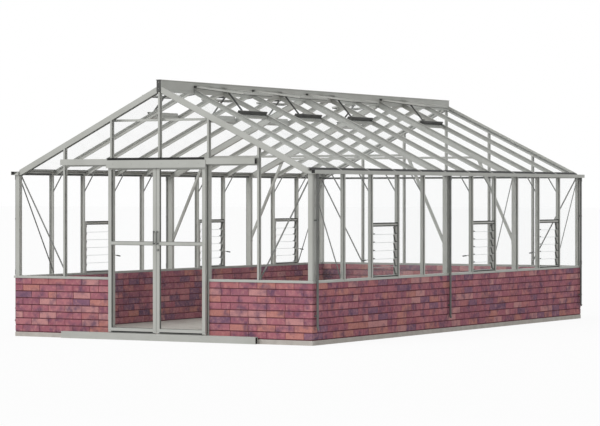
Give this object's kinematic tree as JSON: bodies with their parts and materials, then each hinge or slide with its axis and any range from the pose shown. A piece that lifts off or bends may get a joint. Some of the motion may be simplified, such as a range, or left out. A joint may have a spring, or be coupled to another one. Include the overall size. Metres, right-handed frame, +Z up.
{
  "type": "glass greenhouse",
  "caption": "Gabled glass greenhouse with an aluminium frame on a low brick wall, sliding double doors, louvre windows, open roof vents, gutters and downpipes.",
  "frame": {"origin": "on the ground under the middle of the house", "axes": "+Z up, +X to the right side when facing the doors, -Y out through the doors, so the house's length is along Y"},
  "size_m": [3.9036, 7.0603, 2.8192],
  "materials": {
    "concrete": "floated concrete",
    "brick": "mixed red facing brick",
    "mill_aluminium": "satin mill-finish extrusion",
    "clear_glass": "clear horticultural glass",
    "dark_plastic": "matt dark plastic"
  },
  "bodies": {
    "house": {"floor_slab": "concrete", "front_wall_left": "brick", "front_wall_right": "brick", "left_wall": "brick", "right_wall": "brick", "rear_wall": "brick", "wall_sills": "mill_aluminium", "corner_posts": "mill_aluminium", "left_wall_bars": "mill_aluminium", "right_wall_bars": "mill_aluminium", "left_roof_bars": "mill_aluminium", "right_roof_bars": "mill_aluminium", "gable_rafters": "mill_aluminium", "front_gable_bars": "mill_aluminium", "rear_gable_bars": "mill_aluminium", "front_portal_frame": "mill_aluminium", "rear_portal_frame": "mill_aluminium", "eaves_stays": "mill_aluminium", "wind_braces": "mill_aluminium", "ridge_beam": "mill_aluminium", "left_gutter": "mill_aluminium", "right_gutter": "mill_aluminium", "louvre_frames": "mill_aluminium", "louvre_handles": "mill_aluminium", "roof_vents": "mill_aluminium", "door_frame": "mill_aluminium", "door_track": "mill_aluminium", "door_guide": "mill_aluminium", "left_wall_glass": "clear_glass", "right_wall_glass": "clear_glass", "left_roof_glass": "clear_glass", "right_roof_glass": "clear_glass", "front_gable_glass": "clear_glass", "rear_gable_glass": "clear_glass", "louvre_blades": "clear_glass", "vent_glass": "clear_glass", "downpipes": "dark_plastic", "vent_openers": "dark_plastic"},
    "left_door": {"left_door_leaf": "mill_aluminium", "left_door_glass": "clear_glass", "left_door_pull": "dark_plastic"},
    "right_door": {"right_door_leaf": "mill_aluminium", "right_door_glass": "clear_glass", "right_door_pull": "dark_plastic"}
  },
  "joints": [
    {"name": "left_door_slide", "type": "slide", "parent": "house", "child": "left_door", "axis": [-1, 0, 0], "range_m": [0, 0.61]},
    {"name": "right_door_slide", "type": "slide", "parent": "house", "child": "right_door", "axis": [1, 0, 0], "range_m": [0, 0.61]}
  ]
}
